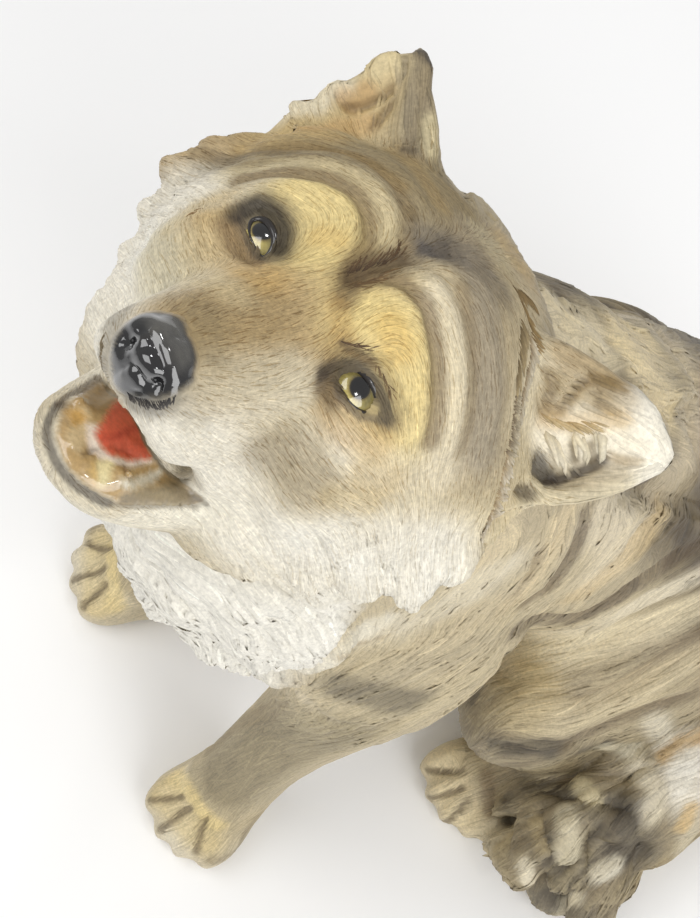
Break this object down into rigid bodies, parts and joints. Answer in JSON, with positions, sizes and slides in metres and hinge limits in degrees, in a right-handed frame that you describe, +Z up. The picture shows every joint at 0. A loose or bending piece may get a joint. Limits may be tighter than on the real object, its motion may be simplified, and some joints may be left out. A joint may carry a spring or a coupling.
{
  "type": "wolf figurine",
  "caption": "Painted cast figurine of a sitting wolf with its head raised, its mouth open and its tail along the left haunch.",
  "frame": {"origin": "middle of the flat underside of the rump, on the surface that the wolf sits on", "axes": "+Z up, -Y the way the wolf's body faces, +X to the wolf's left"},
  "size_m": [0.2306, 0.3305, 0.3833],
  "materials": {
    "painted_resin": "matt painted polyresin, glossy on the nose, eyes, mouth and tongue"
  },
  "bodies": {
    "root": {"wolf_figurine": "painted_resin"}
  },
  "joints": []
}
